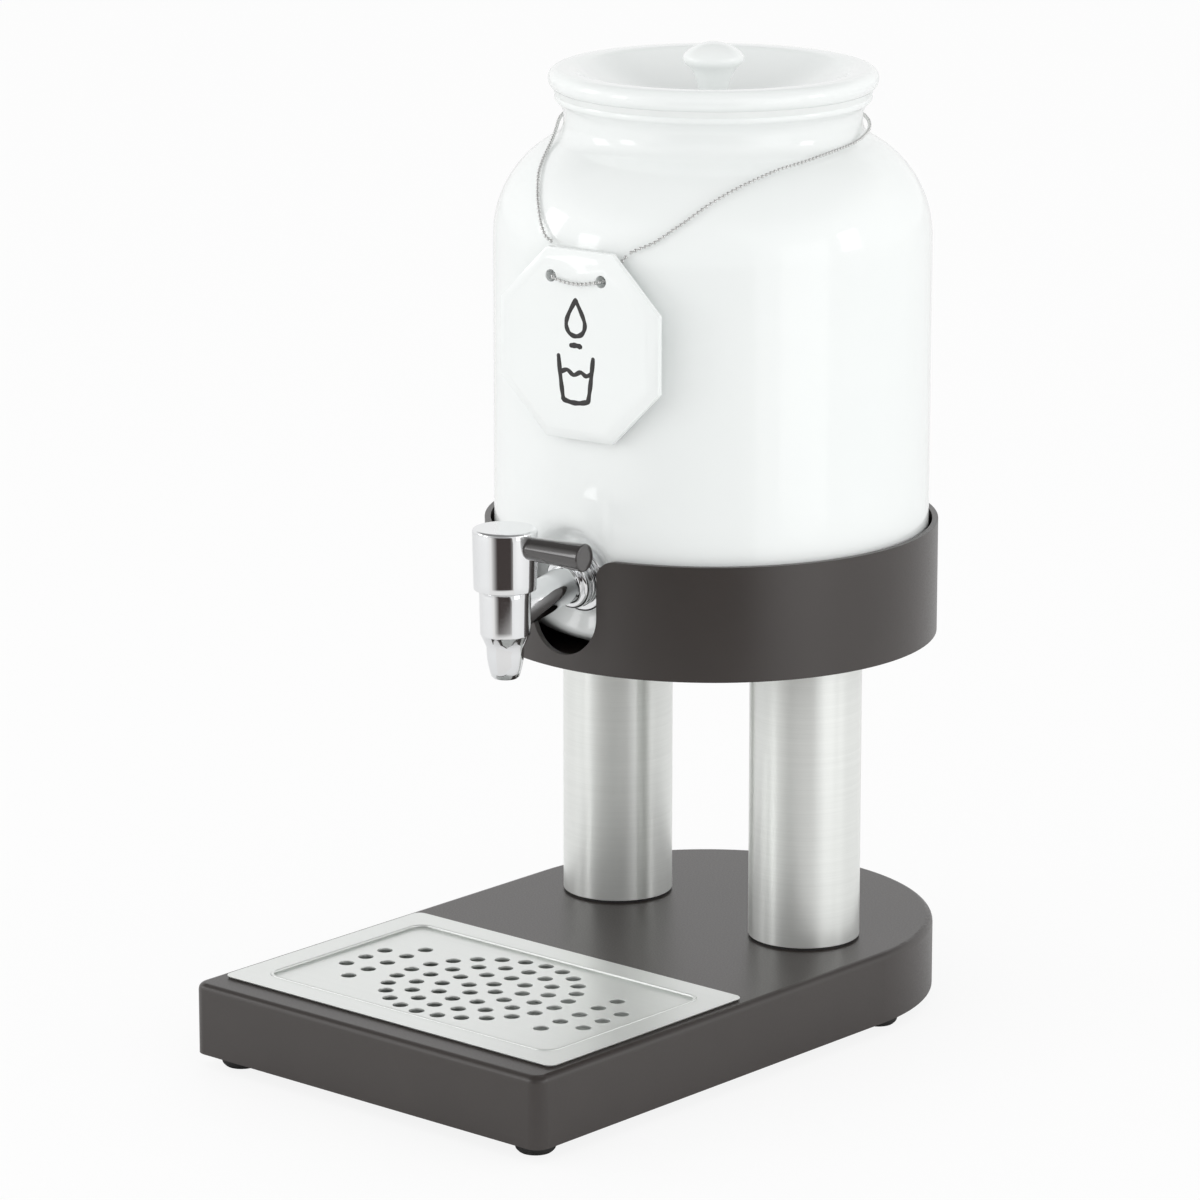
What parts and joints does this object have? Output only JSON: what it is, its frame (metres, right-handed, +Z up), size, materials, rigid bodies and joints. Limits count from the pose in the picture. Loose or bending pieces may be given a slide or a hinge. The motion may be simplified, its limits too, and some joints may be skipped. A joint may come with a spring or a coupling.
{
  "type": "milk dispenser",
  "caption": "Buffet milk dispenser: a lidded porcelain jar with a turning tap and a hanging tag, set in a painted holder on steel columns over a base with a lift-out drip tray.",
  "frame": {"origin": "on the table, under the middle of the base's outline", "axes": "+Z up, -Y to the front where the tap points, +X to the right seen from the front"},
  "size_m": [0.19, 0.311, 0.409],
  "materials": {
    "paint": "satin dark brown-grey powder coat",
    "sheet": "matt dark coat",
    "rubber": "matt black",
    "zinc": "plain zinc",
    "steel": "fine brushed stainless",
    "plug_steel": "turned",
    "porcelain": "glossy white glaze",
    "silicone": "translucent white silicone",
    "chrome": "polished chrome",
    "brass": "turned brass",
    "valve": "food-safe plastic",
    "grip": "glossy black plastic",
    "chain": "nickel-plated beads"
  },
  "bodies": {
    "stand": {"base_shell": "paint", "bottom_plate": "sheet", "feet": "rubber", "foot_screws": "zinc", "column_gaskets": "rubber", "column_left": "steel", "column_right": "steel", "column_plugs": "plug_steel", "lower_bolts": "zinc", "upper_bolts": "zinc", "holder_ring": "paint", "jar_mat": "rubber"},
    "pan": {"drip_pan": "steel"},
    "grid": {"drip_grid": "steel"},
    "jar_set": {"jar": "porcelain", "outer_washer": "rubber", "rosette": "chrome", "tap_shank": "brass", "inner_washer": "rubber", "lock_nut": "brass", "tap_body": "chrome", "bonnet_nut": "brass", "neck_chain": "chain"},
    "lid_set": {"lid": "porcelain", "lid_seal": "silicone"},
    "tap_handle": {"tap_cap": "chrome", "lever_bar": "grip", "valve_plug": "valve", "plug_seals": "rubber"},
    "tag": {"tag_plate": "porcelain", "tag_chain": "chain"}
  },
  "joints": [
    {"name": "pan_lift", "type": "slide", "parent": "stand", "child": "pan", "axis": [0, 0, 1], "range_m": [0, 0.06]},
    {"name": "grid_lift", "type": "slide", "parent": "pan", "child": "grid", "axis": [0, 0, 1], "range_m": [0, 0.06]},
    {"name": "jar_lift", "type": "slide", "parent": "stand", "child": "jar_set", "axis": [0, 0, 1], "range_m": [0, 0.08]},
    {"name": "lid_lift", "type": "slide", "parent": "jar_set", "child": "lid_set", "axis": [0, 0, 1], "range_m": [0, 0.06]},
    {"name": "tap_turn", "type": "hinge", "parent": "jar_set", "child": "tap_handle", "pos_m": [0, -0.0685, 0.19], "axis": [0, 0, -1], "range_deg": [0, 90]},
    {"name": "tag_swing", "type": "hinge", "parent": "jar_set", "child": "tag", "pos_m": [0.00953, -0.0302, 0.3366], "axis": [-0.9945, -0.1045, 0], "range_deg": [0, 25]}
  ]
}
